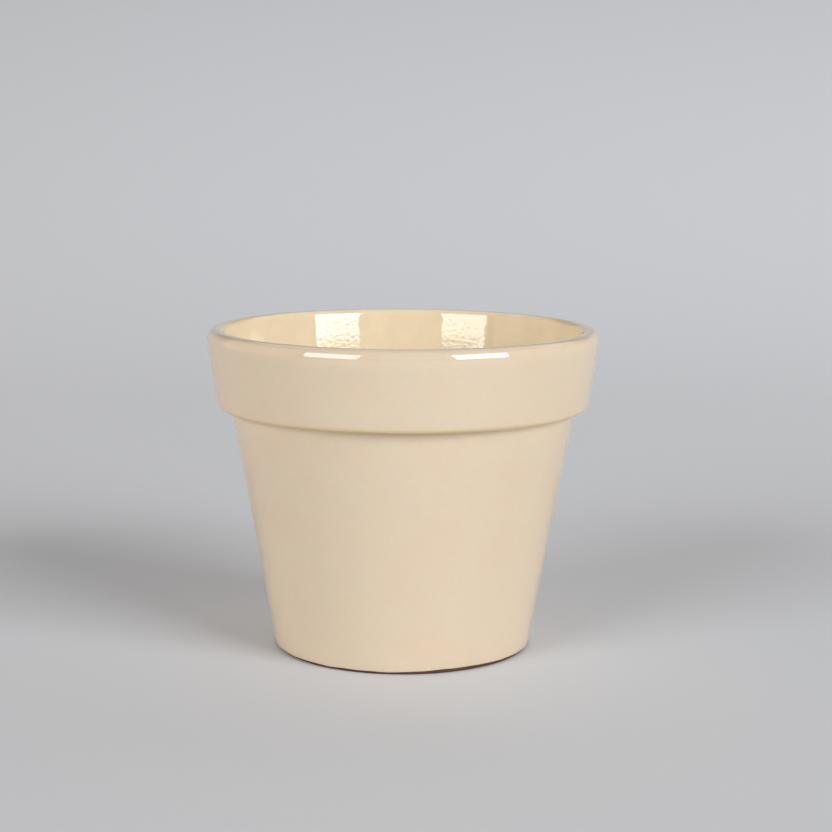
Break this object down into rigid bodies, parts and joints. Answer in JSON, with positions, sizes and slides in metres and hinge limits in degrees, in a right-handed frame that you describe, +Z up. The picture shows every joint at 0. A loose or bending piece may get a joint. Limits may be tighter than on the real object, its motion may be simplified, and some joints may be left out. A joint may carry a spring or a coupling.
{
  "type": "terracotta pot",
  "caption": "Round tapered clay plant pot with a deep overhanging rim collar, glossy cream glaze inside and out, a bare foot ring and a drain hole in its floor.",
  "frame": {"origin": "centre of the foot ring, on the surface that the pot stands on", "axes": "+Z is up, along the pot's axis; the pot is round, so X and Y are alike"},
  "size_m": [0.14, 0.14, 0.1155],
  "materials": {
    "bisque_terracotta": "matte, bare fired clay",
    "cream_glaze": "gloss, opaque cream glaze"
  },
  "bodies": {
    "root": {"clay_body": "bisque_terracotta", "outside_glaze": "cream_glaze", "inside_glaze": "cream_glaze"}
  },
  "joints": []
}
